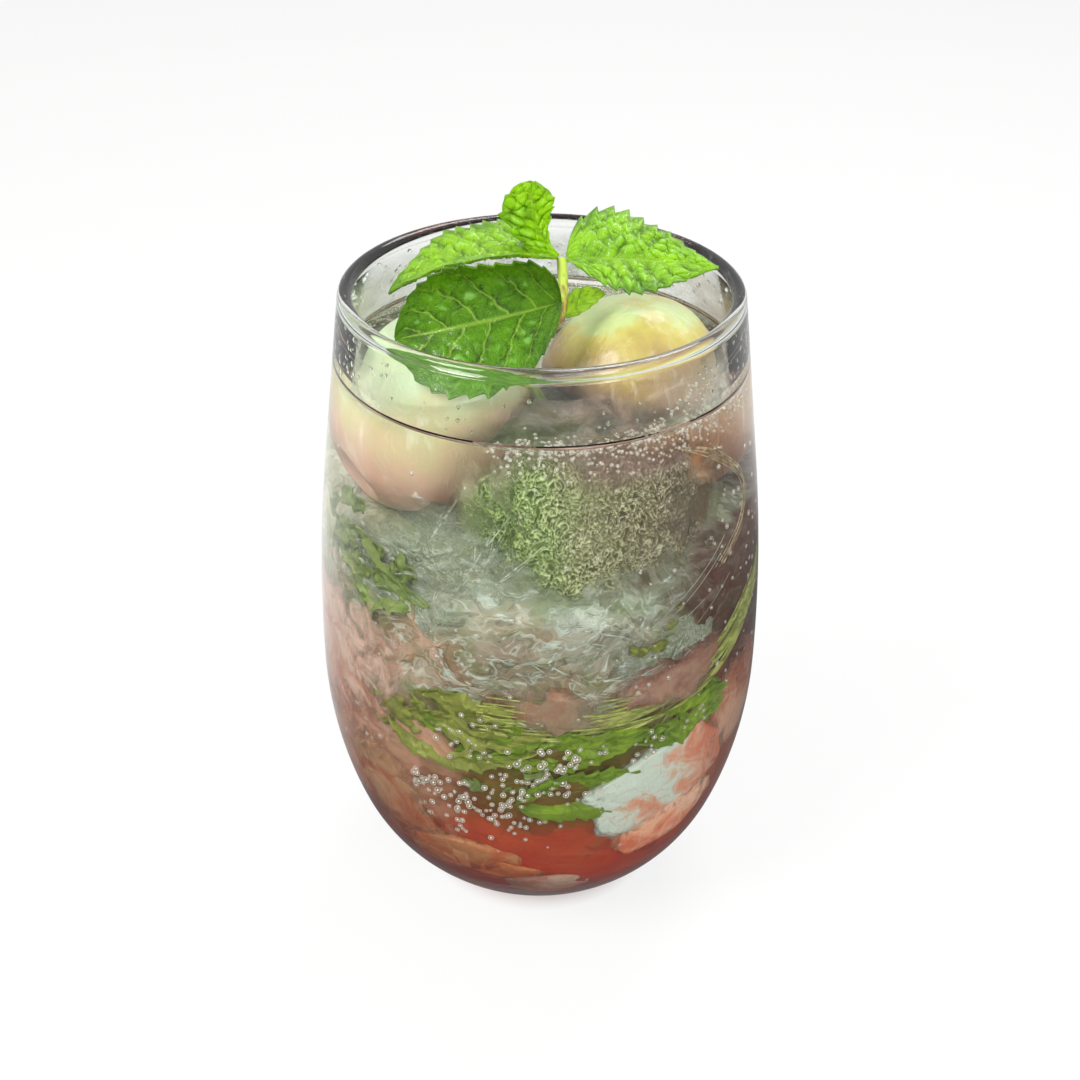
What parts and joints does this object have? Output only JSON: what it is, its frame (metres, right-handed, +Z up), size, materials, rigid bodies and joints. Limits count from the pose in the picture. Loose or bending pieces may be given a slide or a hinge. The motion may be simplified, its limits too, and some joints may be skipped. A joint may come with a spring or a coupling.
{
  "type": "watermelon lychee fizz in a stemless glass",
  "caption": "Round-bellied stemless glass filled with a watermelon fizz, with peeled lychees floating at the top and a sprig of mint.",
  "frame": {"origin": "middle of the glass's foot, on the surface it stands on", "axes": "+Z up along the glass's axis; the widest leaf of the sprig faces -Y, and the right lychee lies towards +X"},
  "size_m": [0.081, 0.081, 0.1365],
  "materials": {
    "clear_glass": "clear, smooth, with a rounded rim",
    "fizz": "clear grey-green at the top, salmon to brick red at the bottom, with ice, watermelon, mint and bubbles",
    "lychee_flesh": "wet, cream, slightly see-through, with fine fibres",
    "mint_leaf": "quilted, satin",
    "mint_stalk": "satin"
  },
  "bodies": {
    "root": {"glass": "clear_glass", "drink": "fizz", "lychee_right": "lychee_flesh", "lychee_left": "lychee_flesh", "mint_stem": "mint_stalk", "mint_leaf_front": "mint_leaf", "mint_leaf_left": "mint_leaf", "mint_leaf_top": "mint_leaf", "mint_leaf_right": "mint_leaf", "mint_leaf_small": "mint_leaf"}
  },
  "joints": []
}
